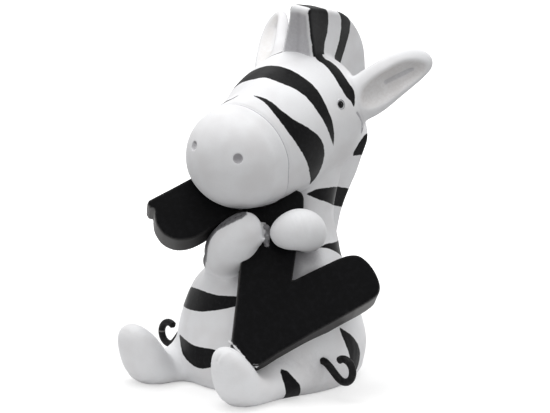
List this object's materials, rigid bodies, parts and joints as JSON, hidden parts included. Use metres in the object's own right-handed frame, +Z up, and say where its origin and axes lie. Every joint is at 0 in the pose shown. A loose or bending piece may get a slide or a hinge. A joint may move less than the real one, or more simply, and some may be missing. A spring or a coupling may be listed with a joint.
{
  "type": "alphabet letter figurine",
  "caption": "Seated zebra figurine hugging a thick block capital letter Z, with a bent wire linking hook on each hip.",
  "frame": {"origin": "on the table under the middle of the bounding box", "axes": "+Z up, the animal faces -Y, its own left side is +X"},
  "size_m": [0.0546, 0.0572, 0.0727],
  "materials": {
    "white_paint": "matte white paint on cast resin",
    "black_paint": "semi-matte black paint on cast resin",
    "black_wire": "black painted steel wire"
  },
  "bodies": {
    "root": {"trunk": "white_paint", "head": "white_paint", "muzzle": "white_paint", "crest": "white_paint", "neck_mane": "white_paint", "left_ear": "white_paint", "right_ear": "white_paint", "left_eye": "black_paint", "right_eye": "black_paint", "left_arm": "white_paint", "right_arm": "white_paint", "left_leg": "white_paint", "right_leg": "white_paint", "tail": "white_paint", "letter_z": "black_paint", "left_hook": "black_wire", "right_hook": "black_wire"}
  },
  "joints": []
}
